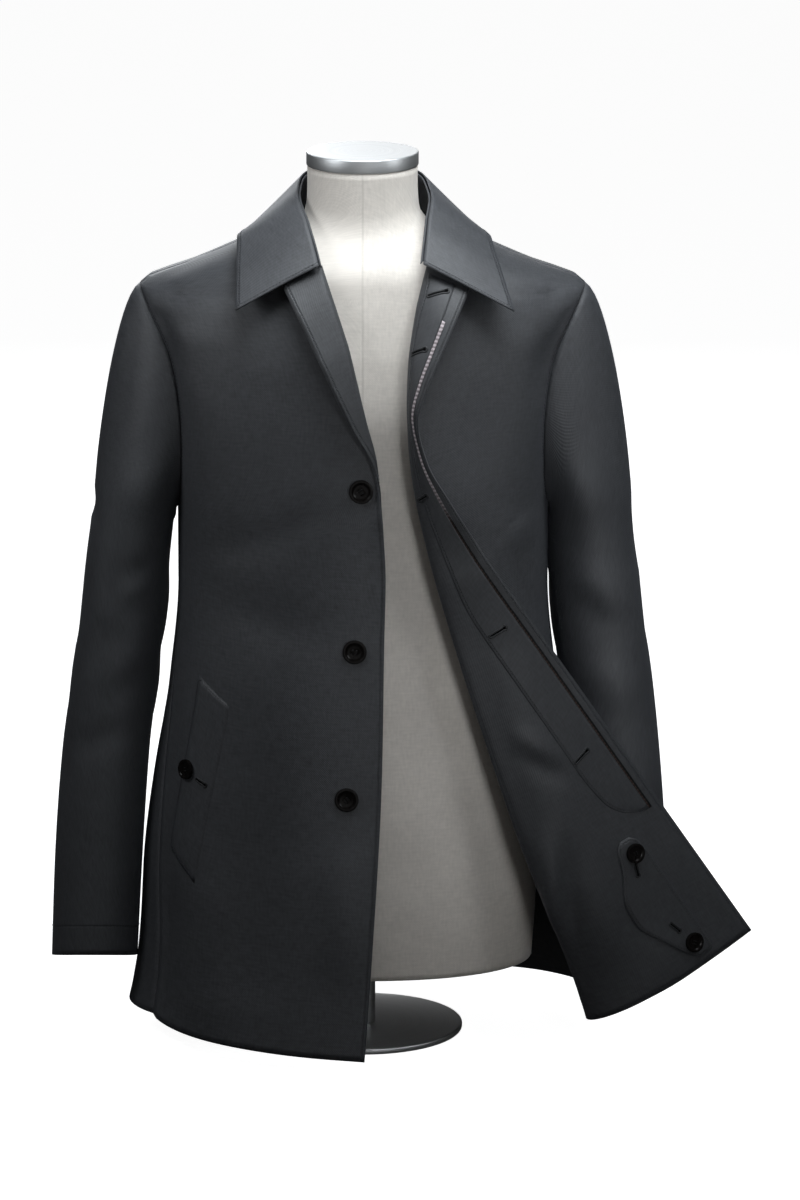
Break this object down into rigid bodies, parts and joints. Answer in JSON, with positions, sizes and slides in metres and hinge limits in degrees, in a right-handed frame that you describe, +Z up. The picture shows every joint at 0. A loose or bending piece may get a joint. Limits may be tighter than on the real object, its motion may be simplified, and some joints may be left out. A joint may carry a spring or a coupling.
{
  "type": "raincoat on a dress form",
  "caption": "Hip-length single-breasted raincoat with a concealed fly, turned-down collar and slanted welt pockets, worn open on a limbless dress form that stands on a round base.",
  "frame": {"origin": "centre of the flat underside of the stand's base, on the floor under the form's neck", "axes": "+Z up along the form; +X to the wearer's left; the coat faces -Y"},
  "size_m": [0.7056, 0.3142, 0.901],
  "materials": {
    "shell": "closely woven cotton gabardine with a soft sheen",
    "lining": "ribbed lining",
    "button": "polished",
    "linen": "unbleached linen twill",
    "steel": "brushed"
  },
  "bodies": {
    "root": {"back": "shell", "front_right": "shell", "front_left": "shell", "sleeve_right": "shell", "sleeve_left": "shell", "collar_fall": "shell", "collar_stand": "shell", "facing_right": "shell", "fly_placket": "shell", "pocket_welt_right": "shell", "pocket_welt_left": "shell", "storm_tab": "shell", "fly_piping": "lining", "front_button_1": "button", "front_button_2": "button", "front_button_3": "button", "pocket_button_right": "button", "pocket_button_left": "button", "tab_button_upper": "button", "tab_button_lower": "button", "form_torso": "linen", "neck_cap": "steel", "stand_column": "steel", "stand_base": "steel"}
  },
  "joints": []
}
